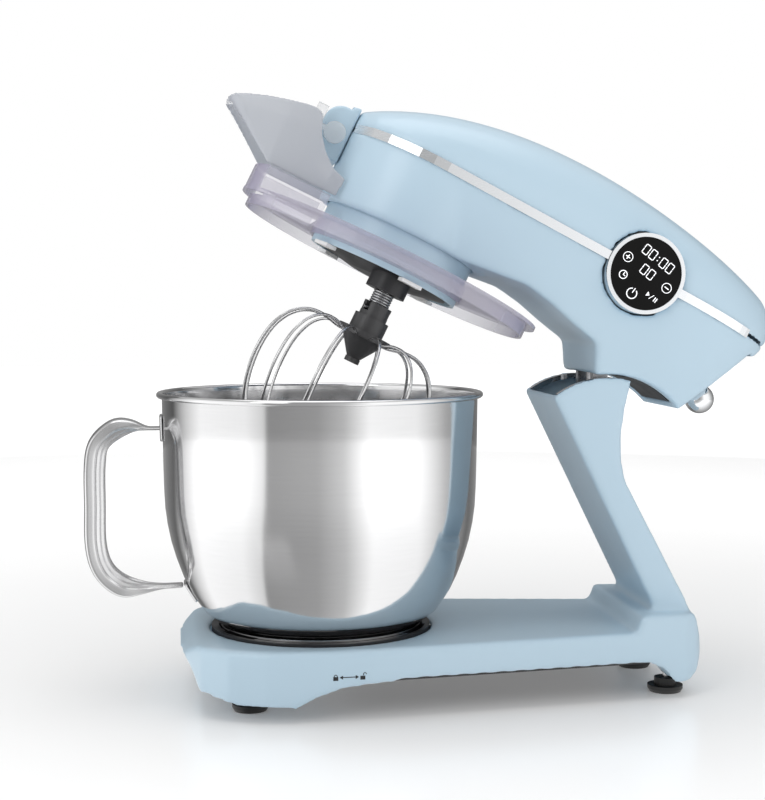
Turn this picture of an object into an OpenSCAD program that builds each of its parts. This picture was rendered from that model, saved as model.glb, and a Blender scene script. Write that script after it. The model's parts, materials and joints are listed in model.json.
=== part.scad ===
// Tilt-head stand mixer with a planetary whisk, a seven-litre bowl and a clear splash guard.
// The head is drawn as it sits when lowered, then tipped back by head_open about the hinge pin.
// Frame: +X to the rear, -Y the display side, +Z up, z = 0 on the worktop.

/* [Bowl] */
// Outer radius of the bowl wall near the rim
bowl_r = 115.7; // [100:0.1:120]
// Height of the rim above the worktop
rim_z = 222; // [200:1:230]
// Thickness of the steel sheet
sheet = 1.2; // [0.8:0.1:2]
// How far the handle stands out from the bowl axis
handle_reach = 170; // [150:1:190]

/* [Stand] */
// Height of the base's top face
base_top = 49.5; // [40:0.5:50]
// Width of the column
column_w = 98; // [90:1:110]
// Wall of the castings
wall = 3.5; // [2.5:0.1:4.5]
// Height of the rubber feet
foot_h = 7; // [6:0.5:12]
// Radius of the bowl socket
socket_r = 78; // [76:0.5:84]

/* [Tilt hinge] */
// Angle that the head is tipped back
head_open = 26.1; // [15:0.1:30]
// Radius of the hinge pin
pin_r = 3.5; // [2.5:0.1:4]
// Running clearance of shafts in their bushes, on the radius
running = 0.05; // [0.03:0.01:0.1]
// Gap between the column top and the head
saddle_gap = 1.8; // [1:0.1:3]

/* [Head] */
// Height of the trim strip's middle over the bowl axis, head lowered
seam_z = 305.5; // [300:0.5:310]
// Largest half width of the head
head_hw = 69; // [64:0.5:74]
// Length from the bowl axis to the rear end
head_rear = 280; // [265:1:290]
// Height of the trim strip
strip_h = 6.5; // [4:0.5:10]
// Outer radius of the display
display_r = 28.9; // [24:0.1:32]

/* [Drive] */
// Distance from the bowl axis to the whisk's axis
orbit = 30; // [26:0.5:32]
// Teeth on the planet gear
planet_teeth = 14; // [12:1:16]
// Teeth on the fixed ring gear
ring_teeth = 38; // [36:1:42]
// Radius of the spindle
spindle_r = 5; // [4:0.1:6]
// Largest radius of the whisk
whisk_r = 67; // [55:1:70]
// Wires in the whisk
whisk_wires = 11; // [8:1:13]

/* [Guard] */
// Outer radius of the clear guard
guard_r = 118.7; // [110:0.1:122]
// Half width of the pour chute's opening
chute_hw = 40; // [30:1:45]

/* [Hidden] */
$fn = 96;
eps = 0.01;
bowl_x = -82;           // bowl axis; the origin is the middle of the footprint
pivot_x = 205;          // hinge pin, measured from the bowl axis
pivot_z = 166.5;
saddle_r = 66.5;        // column top, an arc about the hinge pin
skirt_r = saddle_r + saddle_gap;
skirt_front = -34.7;    // ends of the head's saddle arc, from straight up
skirt_rear = 26;
collar_r = 58;
collar_low = 223.5;
bell_low = 252.5;
module_mm = 2.5;        // gear module
guard_z = 233.5;
nose_x = -66;           // front face of the head
motor_x = 150;
orbit_phase = -82;      // where the planet stands at rest
body_blue = "lightblue";
seam_tilt = 1.27;       // the trim strip falls a little to the rear
fit_gap = 0.1;          // between fixed pieces that slip together
display_x = 162.3;      // middle of the display, on the trim strip
display_z = 302.4;
lug_count = 3;          // bayonet lugs under the bowl
bolt_r = 4;
lever_x = 198;          // tilt lever's axle
lever_z = 250;
chute_px = -77.6;       // chute's hinge
chute_pz = 297.5;
arm_y = 22;             // middle of each hinge arm
arm_t = 6;
wire_r = 1.1;           // whisk wire
cage_top = 175.5;
cage_low = 63;
foot_places = [[-55, -55], [-55, 55], [252, -40], [252, 40]];
case_screw_places = [[60, -44], [60, 44], [228, -34], [228, 34]];

// ---- placing ----
module at_bowl() { translate([bowl_x, 0, 0]) children(); }
module raised() {
    at_bowl() translate([pivot_x, 0, pivot_z]) rotate([0, head_open, 0])
        translate([-pivot_x, 0, -pivot_z]) children();
}
// Side-on outline in X and Z, pulled to width w about the middle plane
module side_on(w) { translate([0, w / 2, 0]) rotate([90, 0, 0]) linear_extrude(w) children(); }
module at_spindle() { rotate([0, 0, orbit_phase]) translate([orbit, 0, 0]) children(); }
module ring(r_out, r_in, h) {
    difference() {
        cylinder(r = r_out, h = h);
        translate([0, 0, -1]) cylinder(r = r_in, h = h + 2);
    }
}
module cap_screw(r, len) {
    union() {
        translate([0, 0, -len]) cylinder(r = r, h = len + eps);
        cylinder(r = r * 1.9, h = r * 1.3);
    }
}
function arc(cx, cy, r, a0, a1, n) =
    [for (i = [0 : n]) let (a = a0 + (a1 - a0) * i / n) [cx + r * sin(a), cy + r * cos(a)]];

// ---- head outline ----
function bow(u) = u <= 0 ? 1 : sqrt(max(0, 1 - pow(u, 2.6)));
// Half width of the head at distance x from the bowl axis
function half_w(x) = x < 0 ? sqrt(pow(head_hw, 2) - x * x)
    : (head_hw - 6 * min(x, 180) / 180) * bow((x - 180) / (head_rear + 5 - 180));
// Crown height at distance x
function crown(x) = x < 100 ? 361 - 39 * pow((100 - x) / 166, 2.3)
    : 361 - 31 * pow((x - 100) / 172, 1.9) - (x > 262 ? 1.2 * pow((x - 262) / 6, 2) : 0);
stations = [for (i = [0 : 40]) let (t = i / 40) nose_x + (head_rear - nose_x) * (1 - pow(1 - t, 1.35))];
ribs = 16;
function seam(x) = seam_z - x * tan(seam_tilt);
function crown_ring(x, inset) = let (w = half_w(x) - inset, h = crown(x) - inset - seam(x))
    [for (i = [0 : ribs]) let (a = 180 - 180 * i / ribs, c = cos(a), s = sin(a))
        [x, w * sign(c) * pow(abs(c), 0.82), seam(x) + h * pow(s, 0.82)]];
function flank_ring(x, inset) = let (w = half_w(x) - inset, low = 215)
    [[x, -w * 0.74, low], [x, -w, seam(x)], [x, w, seam(x)], [x, w * 0.74, low]];
module skin(rings) {
    n = len(rings[0]);
    last = len(rings) - 1;
    walls = [for (j = [0 : last - 1], i = [0 : n - 1]) let (k = (i + 1) % n)
        each [[j * n + i, j * n + k, (j + 1) * n + k], [j * n + i, (j + 1) * n + k, (j + 1) * n + i]]];
    front = [[for (i = [n - 1 : -1 : 0]) i]];
    back = [[for (i = [0 : n - 1]) last * n + i]];
    polyhedron(points = [for (r = rings) each r], faces = concat(walls, front, back));
}
module crown_body(inset) {
    clipped = [for (x = stations) if (x > nose_x + inset - eps && x < head_rear - inset + eps) x];
    skin([for (x = clipped) crown_ring(x, inset)]);
}
module flank_body(inset) {
    clipped = [for (x = stations) if (x > nose_x + inset - eps && x < head_rear - inset + eps) x];
    skin([for (x = clipped) flank_ring(x, inset)]);
}
module under_outline(inset) {
    r = skirt_r + inset;
    polygon(concat([[nose_x + 30, seam_z + 10], [nose_x + 30, bell_low + inset], [40, bell_low + inset],
        [62, 255 + inset], [90, 258 + inset], [112, 254.5 + inset], [132, 249 + inset],
        [155 + inset, 244 + inset]],
        arc(pivot_x, pivot_z, r, skirt_front + inset * 0.8, skirt_rear - inset * 0.8, 24),
        [[267 - inset, 287], [274 - inset * 0.5, 289], [head_rear - inset, 299],
            [head_rear - inset, seam_z + 10]]));
}
module bell(inset) {
    intersection() {
        translate([0, 0, bell_low + inset])
            cylinder(r1 = 66 - inset, r2 = head_hw - inset, h = seam_z - bell_low - inset + 8, $fn = 96);
        side_on(160) polygon([[nose_x + inset, 200], [94, 200], [94, seam(94)], [nose_x + inset, seam(nose_x)]]);
    }
}
module plan_outline(grow) {
    xs = [for (i = [0 : 44]) nose_x + (head_rear - 0.2 - nose_x) * (1 - pow(1 - i / 44, 1.5))];
    polygon(concat([for (x = xs) [x, -half_w(x) - grow]],
        [for (i = [len(xs) - 1 : -1 : 0]) [xs[i], half_w(xs[i]) + grow]]));
}
module strip_space(grow, depth) {
    translate([0, 0, seam_z]) rotate([0, seam_tilt, 0]) translate([0, 0, -strip_h / 2])
        linear_extrude(strip_h) difference() {
            plan_outline(grow);
            plan_outline(-depth);
            translate([256, -100]) square([60, 200]);
            translate([-100, -100]) square([34.5, 200]);
        }
}
module at_display(y) { translate([display_x, y, display_z]) rotate([90, 0, 0]) children(); }

// ---- stand ----
module base_outline() {
    polygon([[-101, -52], [-104, -30], [-105, 0], [-104, 30], [-101, 52], [-90, 74], [-72, 89],
        [-45, 98], [-10, 99.5], [30, 96.5], [216, 70], [245, 66.5], [260, 64], [270, 58.5], [275.5, 50],
        [276.5, 0], [275.5, -50], [270, -58.5], [260, -64], [245, -66.5], [216, -70], [30, -96.5], [-10, -99.5],
        [-45, -98], [-72, -89], [-90, -74]]);
}
module base_side(inset) {
    polygon([[-92 + inset, base_top - inset], [-103 + inset, base_top - 8], [-104 + inset, 42],
        [-98 + inset, 35], [-94 + inset, 27], [-91 + inset, 18], [-67, 12], [-26, 10],
        [-14, 16], [6, 23], [60, 27.5], [230, 27], [243, 22], [252, 11], [264, 12],
        [272 - inset, 19], [276 - inset, 31], [274 - inset, 45], [268 - inset, base_top + 12 - inset],
        [226, base_top + 12 - inset], [222, base_top - inset]]);
}
module column_side(inset) {
    polygon(concat([[222, 30], [222, base_top - 0.2], [230, 50.3], [236, 53.5],
        [239 + inset, 58], [239.3 + inset, 64], [237.8 + inset, 69.5],
        [235.3 + inset * 1.2, 74], [164.6 + inset * 1.2, 218.3]],
        [for (p = arc(pivot_x, pivot_z, saddle_r + (inset > 0 ? 6 : 0), -38 + inset * 1.1, 15 - inset, 20)) p],
        [[217.5 - inset, 210], [214.8 - inset, 190], [215.4 - inset, 171], [218.4 - inset, 157],
            [265.3 - inset, 68], [273 - inset, 45], [275 - inset, 30]]));
}
module stand_casting() {
    color(body_blue) at_bowl() difference() {
        union() {
            intersection() {
                side_on(240) base_side(0);
                translate([0, 0, 5]) linear_extrude(80) base_outline();
            }
            side_on(column_w) column_side(0);
        }
        // hollow base, open below
        difference() {
            intersection() {
                translate([0, 0, -1]) side_on(240) base_side(wall);
                translate([0, 0, 5]) linear_extrude(base_top - wall - 5) offset(delta = -wall) base_outline();
            }
            for (p = foot_places) translate([p[0], p[1], 0]) cylinder(r = 8, h = 60);
        }
        side_on(column_w - 2 * wall) intersection() {
            column_side(wall);
            translate([150, 60]) square([140, 190]);
        }
        // seat for the bowl socket
        translate([0, 0, base_top - 7]) cylinder(r = socket_r + 3, h = 20);
        // foot screws
        for (p = foot_places) translate([p[0], p[1], 0]) cylinder(r = 1.9, h = 24, $fn = 32);
        // blind seats for the pin's bushes
        translate([pivot_x, 0, pivot_z]) rotate([90, 0, 0])
            cylinder(r = pin_r + 2, h = column_w - 2.8, center = true);
    }
}
module base_cover() {
    color("dimgray") at_bowl() difference() {
        intersection() {
            translate([0, 0, 26.2]) linear_extrude(2) offset(delta = -wall - 1) base_outline();
            translate([8, -100, 0]) cube([222, 200, 60]);
        }
        for (x = [24 : 12 : 96]) translate([x, -18, 20]) cube([4, 36, 20]);
    }
}
module rubber_feet() {
    color([0.08, 0.08, 0.08]) at_bowl() for (p = foot_places) translate([p[0], p[1], 0]) difference() {
        union() {
            cylinder(r1 = 11.5, r2 = 13, h = 2.5, $fn = 48);
            translate([0, 0, 2.5 - eps]) cylinder(r = 13, h = foot_h - 4.5, $fn = 48);
            translate([0, 0, foot_h - 2 - eps]) cylinder(r = 8, h = 12 - foot_h + 0.5, $fn = 48);
        }
        translate([0, 0, -1]) cylinder(r = 4.2, h = 4, $fn = 32);
        translate([0, 0, -1]) cylinder(r = 2.1, h = 20, $fn = 32);
    }
}
module foot_screws() {
    color("silver") at_bowl() for (p = foot_places) translate([p[0], p[1], 0]) union() {
        translate([0, 0, 1]) cylinder(r = 3.8, h = 1.9, $fn = 32);
        translate([0, 0, 2.8]) cylinder(r = 1.8, h = 18, $fn = 32);
    }
}
module bowl_socket() {
    color([0.1, 0.1, 0.1]) at_bowl() translate([0, 0, base_top - 6.8]) difference() {
        cylinder(r = socket_r + 2.7, h = 7.6);
        translate([0, 0, 2.5]) cylinder(r = 75.2, h = 20);
        translate([0, 0, -1]) cylinder(r = 55, h = 20);
        // pockets that the bowl's lugs turn in
        for (i = [0 : lug_count - 1]) rotate([0, 0, i * 120 + 50]) translate([0, 0, 2.8])
            rotate_extrude(angle = 58) translate([70, 0]) square([7.6, 2.9]);
        for (i = [0 : lug_count - 1]) rotate([0, 0, i * 120 + 79]) translate([0, 0, 3])
            rotate_extrude(angle = 28) translate([71, 0]) square([6.4, 12]);
        for (i = [0 : lug_count - 1]) rotate([0, 0, i * 120 + 20]) translate([62, 0, -1])
            cylinder(r = 1.9, h = 20, $fn = 32);
    }
}
module socket_screws() {
    color("silver") at_bowl() for (i = [0 : lug_count - 1]) rotate([0, 0, i * 120 + 20])
        translate([62, 0, base_top - 4.25]) cap_screw(1.8, 8);
}
module hinge_pin() {
    color("silver") at_bowl() translate([pivot_x, 0, pivot_z]) rotate([90, 0, 0])
        cylinder(r = pin_r, h = column_w - 3, center = true);
}
module pin_bushes() {
    color("goldenrod") at_bowl() for (s = [-1, 1])
        translate([pivot_x, s * (column_w / 2 - 4.7), pivot_z]) rotate([90, 0, 0])
            translate([0, 0, -3.3]) ring(pin_r + 2, pin_r, 6.6);
}
module pin_rings() {
    color("silver") at_bowl() for (s = [-1, 1]) translate([pivot_x, s * 40.2, pivot_z])
        rotate([90, 0, 0]) translate([0, 0, -0.5]) ring(pin_r + 1.6, pin_r, 1);
}
module latch_block() {
    color([0.1, 0.1, 0.1]) at_bowl() difference() {
        intersection() {
            side_on(26) polygon(concat(arc(pivot_x, pivot_z, 51.6, -44, 7, 16),
                arc(pivot_x, pivot_z, 38, 7, -52, 12)));
            side_on(30) column_side(wall);
        }
        for (a = [-head_open, 0]) translate([pivot_x, 0, pivot_z]) rotate([0, a, 0])
            translate([0, 0, 42]) cylinder(r = bolt_r + 0.3, h = 20, $fn = 48);
    }
}
module saddle_rails() {
    color("silver") at_bowl() for (s = [-1, 1]) translate([0, s * (column_w / 2 - wall - 3.5), 0])
        side_on(6) polygon(concat(arc(pivot_x, pivot_z, saddle_r - 0.8, -34.5, 8, 20),
            arc(pivot_x, pivot_z, saddle_r - 4.5, 8, -33, 20)));
}

// ---- head ----
module upper_shell() {
    color(body_blue) raised() difference() {
        intersection() {
            crown_body(0);
            translate([-100, -100, seam_z - 12]) cube([500, 200, 110]);
        }
        difference() {
            translate([0, 0, -eps]) crown_body(wall);
            // posts that take the case screws
            for (p = case_screw_places) translate([p[0], p[1], 250]) cylinder(r = 5, h = 140, $fn = 32);
        }
        for (p = case_screw_places) translate([p[0], p[1], 250]) cylinder(r = 1.6, h = 62, $fn = 32);
        strip_space(5, 1.2);
        at_display(-30) cylinder(r = display_r + 0.3, h = 60);
    }
}
module head_low(inset) {
    union() {
        intersection() {
            flank_body(inset);
            side_on(200) under_outline(inset);
        }
        bell(inset);
    }
}
module lower_shell() {
    color(body_blue) raised() difference() {
        head_low(0);
        difference() {
            translate([0, 0, 0.02]) head_low(wall);
            // bosses for the case screws
            for (p = case_screw_places) translate([p[0], p[1], 200]) cylinder(r = 5, h = 120, $fn = 32);
        }
        strip_space(5, 1.2);
        at_display(-30) cylinder(r = display_r + 0.3, h = 60);
        // way out for the gearbox collar
        translate([0, 0, bell_low - 1]) cylinder(r = collar_r + fit_gap, h = 12);
        // mouth over the saddle
        intersection() {
            side_on(2 * 38) polygon(concat(arc(pivot_x, pivot_z, skirt_r - 3, -31.6, 22, 16),
                arc(pivot_x, pivot_z, skirt_r + 8, 20, -31.6, 16)));
            translate([150, -34, 200]) cube([100, 68, 90]);
        }
        // slot for the lever
        translate([238, -5, 238]) cube([30, 10, 27]);
        for (p = case_screw_places) translate([p[0], p[1], 200]) cylinder(r = 1.6, h = 120, $fn = 32);
    }
}
module case_screws() {
    color("silver") raised() for (p = case_screw_places) translate([p[0], p[1], seam_z - 6])
        rotate([180, 0, 0]) translate([0, 0, -7]) cylinder(r = 1.5, h = 22, $fn = 32);
}
module trim_strips() {
    color("silver") raised() difference() {
        strip_space(0.5, 1.2);
        at_display(-30) cylinder(r = display_r + 0.3, h = 60);
    }
}
module nose_cap() {
    color(body_blue) raised() side_on(2 * 17) polygon(concat([[-66.4, 279], [-66.4, 322.5], [-73, 321]],
        arc(-76, 306, 13, 30, -90, 10), [[-89, 284], [-86, 279]]));
}
module collar() {
    color(body_blue) raised() translate([0, 0, collar_low]) ring(collar_r, collar_r - 3, bell_low - collar_low + wall);
}
module saddle_liner() {
    color([0.13, 0.13, 0.14]) raised() difference() {
        side_on(66) polygon(concat(arc(pivot_x, pivot_z, skirt_r + 0.2, -27, 20, 20),
            arc(pivot_x, pivot_z, skirt_r + 2.4, 20, -27, 20)));
        side_on(58) polygon(concat(arc(pivot_x, pivot_z, skirt_r - 1, -30, -8, 6),
            arc(pivot_x, pivot_z, skirt_r + 4, -8, -30, 6)));
    }
}
module hinge_arm() {
    rotate([90, 0, 0]) linear_extrude(arm_t, center = true) difference() {
        union() {
            circle(r = 6.4);
            translate([-5.5, 0]) square([11, 114]);
        }
        circle(r = pin_r + running);
    }
}
module tilt_frame() {
    color("gray") raised() difference() {
        union() {
            for (s = [-1, 1]) translate([pivot_x, s * arm_y, pivot_z]) rotate([0, -head_open, 0]) hinge_arm();
            translate([pivot_x, 0, pivot_z]) rotate([0, -head_open, 0])
                translate([-4.5, -arm_y, 71.5]) cube([9, 2 * arm_y, 5]);
            translate([40, -30, 262]) cube([152, 60, 4]);
        }
        translate([pivot_x, 0, pivot_z]) rotate([0, -head_open, 0]) translate([0, 0, 60])
            cylinder(r = bolt_r + running, h = 26, $fn = 48);
        translate([0, 0, 250]) cylinder(r = 48, h = 40);
        for (s = [-1, 1]) translate([56, s * 22, 250]) cylinder(r = 2, h = 30, $fn = 32);
    }
}
module frame_screws() {
    color("silver") raised() for (s = [-1, 1]) translate([56, s * 22, 266]) cap_screw(1.9, 7);
}
module gearbox_housing() {
    color("silver") raised() difference() {
        union() {
            translate([0, 0, 234]) cylinder(r = 54.8, h = 22);
            translate([0, 0, 255]) cylinder(r = 22, h = 22);
            translate([0, -29, 256.1]) cube([45, 58, 5.9]);
            translate([40, -29, 259.3]) cube([24, 58, 2.7]);
        }
        translate([0, 0, 233]) cylinder(r = 51.9, h = 15.5);
        translate([0, 0, 230]) cylinder(r = 10, h = 60);
        for (s = [-1, 1]) translate([56, s * 22, 250]) cylinder(r = 1.9, h = 30, $fn = 32);
        // the planet spindle's top end passes under here
        translate([0, 0, 240]) cylinder(r = 42, h = 12);
    }
}
function tooth(i, n, inner) = let (r = module_mm * n / 2, a = 360 / n * i, sgn = inner ? -1 : 1,
    root = r - sgn * module_mm * 1.1, tip = r + sgn * module_mm * 0.75,
    wr = 360 / n * (inner ? 0.30 : 0.30), wt = 360 / n * 0.13)
    [for (q = [[root, -wr], [tip, -wt], [tip, wt], [root, wr]]) [q[0] * cos(a + q[1]), q[0] * sin(a + q[1])]];
module ring_gear() {
    color("silver") raised() translate([0, 0, 236.5]) linear_extrude(9) difference() {
        circle(r = 51.9);
        rotate(orbit_phase) polygon([for (i = [0 : ring_teeth - 1]) each tooth(i + 0.5, ring_teeth, true)]);
    }
}
module planet_gear() {
    color("silver") raised() at_spindle() translate([0, 0, 236.5]) linear_extrude(9) difference() {
        polygon([for (i = [0 : planet_teeth - 1]) each tooth(i, planet_teeth, false)]);
        circle(r = spindle_r);
    }
}
module shaft_bushes() {
    color("goldenrod") raised() for (z = [253, 270]) translate([0, 0, z]) ring(10, 7 + running, 7);
}
module main_shaft() {
    color("silver") raised() translate([0, 0, 226]) cylinder(r = 7, h = 72);
}
module planet_carrier() {
    color([0.1, 0.1, 0.1]) raised() difference() {
        union() {
            translate([0, 0, 219]) cylinder(r1 = 24, r2 = 50.5, h = 5);
            translate([0, 0, 224 - eps]) cylinder(r = 50.5, h = 9.5);
            translate([0, 0, 233]) cylinder(r = 9.8, h = 14);
            at_spindle() translate([0, 0, 210]) cylinder(r = 15, h = 14);
        }
        translate([0, 0, 226]) cylinder(r = 7, h = 40);
        at_spindle() translate([0, 0, 200]) cylinder(r = spindle_r + running, h = 60);
    }
}
module drive_pulley() {
    color([0.2, 0.2, 0.2]) raised() translate([0, 0, 283]) difference() {
        union() {
            cylinder(r = 42, h = 2);
            translate([0, 0, 2 - eps]) cylinder(r = 40, h = 8.5);
            translate([0, 0, 10.5 - eps]) cylinder(r = 42, h = 2);
        }
        translate([0, 0, -1]) cylinder(r = 7, h = 30);
        for (a = [0 : 60 : 300]) rotate([0, 0, a]) translate([25, 0, -1]) cylinder(r = 8, h = 30, $fn = 48);
    }
}
module motor_pulley() {
    color("silver") raised() translate([motor_x, 0, 283]) difference() {
        union() {
            cylinder(r = 10, h = 2);
            translate([0, 0, 2 - eps]) cylinder(r = 8, h = 8.5);
            translate([0, 0, 10.5 - eps]) cylinder(r = 10, h = 2);
        }
        translate([0, 0, -1]) cylinder(r = 4, h = 30);
    }
}
module belt_loop(a, b) {
    hull() {
        circle(r = a);
        translate([motor_x, 0]) circle(r = b);
    }
}
module drive_belt() {
    color([0.08, 0.08, 0.08]) raised() translate([0, 0, 285.6]) linear_extrude(7.4) difference() {
        belt_loop(42.4, 10.4);
        belt_loop(40.35, 8.35);
    }
}
module motor_shaft() {
    color("silver") raised() translate([motor_x, 0, 277]) cylinder(r = 4, h = 64);
}
module motor_armature() {
    color("peru") raised() translate([motor_x, 0, 302]) ring(20, 4, 26);
}
module motor_can() {
    color("gray") raised() translate([motor_x, 0, 297]) difference() {
        cylinder(r = 38, h = 36);
        translate([0, 0, 3]) cylinder(r = 33, h = 30);
        translate([0, 0, -1]) cylinder(r = 4 + running, h = 60);
        for (a = [0 : 45 : 315]) rotate([0, 0, a + 22.5]) translate([25, 0, 30]) cylinder(r = 3.2, h = 9, $fn = 32);
    }
}
module motor_bracket() {
    color("silver") raised() difference() {
        union() {
            translate([184, -20, 266]) cube([6, 40, 31]);
            translate([128, -34, 294]) cube([62, 68, 3]);
        }
        translate([motor_x, 0, 290]) cylinder(r = 14, h = 20);
    }
}
module speed_board() {
    color("darkgreen") raised() translate([70, -25, 266]) union() {
        translate([0, 0, 5]) cube([56, 50, 1.6]);
        for (x = [6, 50], y = [6, 44]) translate([x, y, 0]) cylinder(r = 2, h = 5.5, $fn = 32);
    }
}
module display_body() {
    color("steelblue") raised() at_display(-50) ring(display_r, display_r - 3, 14);
}
module display_bezel() {
    color("white") raised() at_display(-64) difference() {
        cylinder(r = display_r, h = 2.2);
        translate([0, 0, -1]) cylinder(r = display_r - 2.8, h = 6);
    }
}
module display_glass() {
    color([0.03, 0.03, 0.03]) raised() at_display(-62.5) cylinder(r = display_r - 3, h = 3.2);
}
module display_board() {
    color("darkgreen") raised() at_display(-57.5) cylinder(r = display_r - 4, h = 1.6);
}

// ---- spindle and whisk ----
module spindle() {
    color("silver") raised() at_spindle() difference() {
        translate([0, 0, 182]) cylinder(r = spindle_r, h = 65.5);
        translate([0, 0, 195]) rotate([90, 0, 0]) cylinder(r = 1.75, h = 30, center = true, $fn = 32);
    }
}
module whisk_pin() {
    color("silver") raised() at_spindle() translate([0, 0, 195]) rotate([90, 0, 0])
        cylinder(r = 1.75, h = 19, center = true, $fn = 32);
}
module push_spring() {
    color("silver") raised() at_spindle() for (i = [0 : 4]) translate([0, 0, 201.2 + i * 1.9])
        rotate_extrude() translate([6.9, 0]) circle(r = 0.85, $fn = 16);
}
module whisk_hub() {
    color([0.22, 0.23, 0.24]) raised() at_spindle() difference() {
        union() {
            translate([0, 0, 189]) cylinder(r = 10.5, h = 11);
            translate([0, 0, 178]) cylinder(r = 13, h = 11.5);
            translate([0, 0, 173.6]) cylinder(r = 20, h = 4.5);
            translate([0, 0, 158]) cylinder(r1 = 5, r2 = 16, h = 15.7);
        }
        translate([0, 0, 181]) cylinder(r = spindle_r + 0.1, h = 40);
        // bayonet slot for the cross pin
        rotate([0, 0, 32]) translate([-2.1, -20, 192.9]) cube([4.2, 40, 20]);
        for (a = [0, 180]) rotate([0, 0, a]) translate([0, 0, 192.9]) linear_extrude(4.2)
            polygon([for (q = [[0.5, 64], [24, 64], [24, 93], [24, 120.5], [0.5, 120.5]])
                [q[0] * cos(q[1]), q[0] * sin(q[1])]]);
    }
}
module whisk_ferrule() {
    color([0.15, 0.15, 0.16]) raised() at_spindle() translate([0, 0, 154.5]) ring(5.6, 1.6, 3.5);
}
// One whisk wire as a bent tube: out from the hub's edge, round the belly and back to the axis
function cage_r(t) = t < 0.22 ? 21.5 + (whisk_r - 21.5) * sin(90 * t / 0.22)
    : whisk_r * pow(cos(90 * (t - 0.22) / 0.78), 0.85);
function cage_z(t) = t < 0.22 ? cage_top - 2 + 10 * sin(180 * pow(t / 0.22, 0.7)) - 18 * pow(t / 0.22, 2)
    : cage_top - 20 - (cage_top - 20 - cage_low) * pow(sin(90 * (t - 0.22) / 0.78), 1.0);
module whisk_cage() {
    color("silver") raised() at_spindle() union() {
        for (k = [0 : whisk_wires - 1]) rotate([0, 0, 360 / whisk_wires * k + 8]) wire_tube();
        translate([0, 0, cage_low - 1.1]) cylinder(r = 4.5, h = 2.4, $fn = 24);
    }
}
module wire_tube() {
    n = 16;
    pts = [for (i = [0 : n]) let (t = i / n * 0.985) [cage_r(t), cage_z(t)]];
    rings = [for (i = [0 : n]) let (a = pts[max(0, i - 1)], b = pts[min(n, i + 1)],
        d = [b[0] - a[0], b[1] - a[1]] / norm(b - a))
        [for (j = [0 : 5]) let (c = cos(60 * j) * wire_r, s = sin(60 * j) * wire_r)
            [pts[i][0] - d[1] * c, s, pts[i][1] + d[0] * c]]];
    skin(rings);
}

// ---- bowl ----
module bowl_profile(t) {
    polygon([[0, 51 + t], [60, 51 + t], [74, 52 + t], [80 - t, 58], [90 - t, 67], [99 - t, 84], [107 - t, 104],
        [112.3 - t, 126], [114.1 - t, 140], [bowl_r - t, rim_z - 7], [bowl_r - t, rim_z + (t > 0 ? 2 : -2)],
        [0, rim_z + (t > 0 ? 2 : -2)]]);
}
module bowl_shell() {
    color("silver") at_bowl() rotate_extrude($fn = 128) union() {
        difference() {
            bowl_profile(0);
            bowl_profile(sheet);
        }
        translate([bowl_r + 1.6, rim_z - 2.2]) circle(r = 2.2, $fn = 24);
    }
}
module bowl_foot() {
    color("silver") at_bowl() union() {
        translate([0, 0, base_top - 3.8]) ring(74.4, 72.6, 6.2);
        for (i = [0 : lug_count - 1]) rotate([0, 0, i * 120 + 52]) translate([0, 0, base_top - 3.8])
            rotate_extrude(angle = 24) translate([74, 0]) square([3, 1.8]);
    }
}
module bowl_handle() {
    top = 195;
    low = 72;
    color("silver") at_bowl() intersection() {
        side_on(24) difference() {
            polygon([[-bowl_r - 0.2, top - 10], [-bowl_r - 0.2, top + 4], [-132, top + 2], [-148, top + 2],
                [-162, top - 4], [-handle_reach, top - 16], [-handle_reach + 2, 98], [-158, 80], [-146, 74],
                [-112, low + 8], [-96, low + 10], [-100.5, low + 19]]);
            polygon([[-bowl_r - 2, top - 10], [-130, top - 7], [-146, top - 8], [-153, top - 14],
                [-155, top - 22], [-155, 102], [-149, 89], [-140, 84], [-112, low + 17], [-103.5, low + 24]]);
            circle(r = 10);
        }
        difference() {
            translate([-200, -50, 0]) cube([190, 100, 260]);
            bowl_clear();
        }
    }
}
module bowl_clear() { rotate_extrude($fn = 128) bowl_profile(0); }

// ---- guard and chute ----
// Raised wall round the pouring mouth, following the guard's rim in front
module mouth_wall(inset, side, h) {
    translate([0, 0, guard_z]) intersection() {
        cylinder(r = guard_r - inset, h = h);
        translate([-guard_r - 1, -chute_hw - side, 0]) cube([58, 2 * (chute_hw + side), h]);
    }
}
module splash_guard() {
    color([0.8, 0.78, 0.9, 0.4]) raised() difference() {
        union() {
            translate([0, 0, guard_z]) cylinder(r = guard_r, h = 2.4);
            translate([0, 0, guard_z - 8.5]) ring(112.5, 110.3, 9);
            translate([0, 0, guard_z - 6]) ring(61, collar_r + 0.35, 16);
            mouth_wall(0.5, 3, 20);
        }
        translate([0, 0, guard_z - 20]) cylinder(r = collar_r + 0.35, h = 60);
        translate([0, 0, -1]) mouth_wall(2.6, 0.9, 40);
        translate([0, 0, guard_z + 2.5]) cylinder(r = 69.8, h = 60);
    }
}
module guard_lugs() {
    color("white") raised() for (a = [-150, -75, 45, 135]) rotate([0, 0, a]) translate([collar_r - 6, -8, 220.8])
        cube([9, 16, 2.5]);
}
module chute_bracket() {
    color([0.85, 0.86, 0.88, 0.5]) raised() union() {
        intersection() {
            translate([-95.5, -60, 276]) cube([3, 120, 22]);
            chute_solid(2);
        }
        for (s = [-1, 1]) {
            translate([-97, s * 22.3 - 2, 273.5]) cube([8, 4, 38.5]);
            translate([-90, s * 21.3 - 1.5, chute_pz - 2]) cube([8, 3, 4]);
            translate([chute_px, s * 21.3, chute_pz]) rotate([90, 0, 0]) cylinder(r = 8, h = 3, center = true);
        }
    }
}
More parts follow.
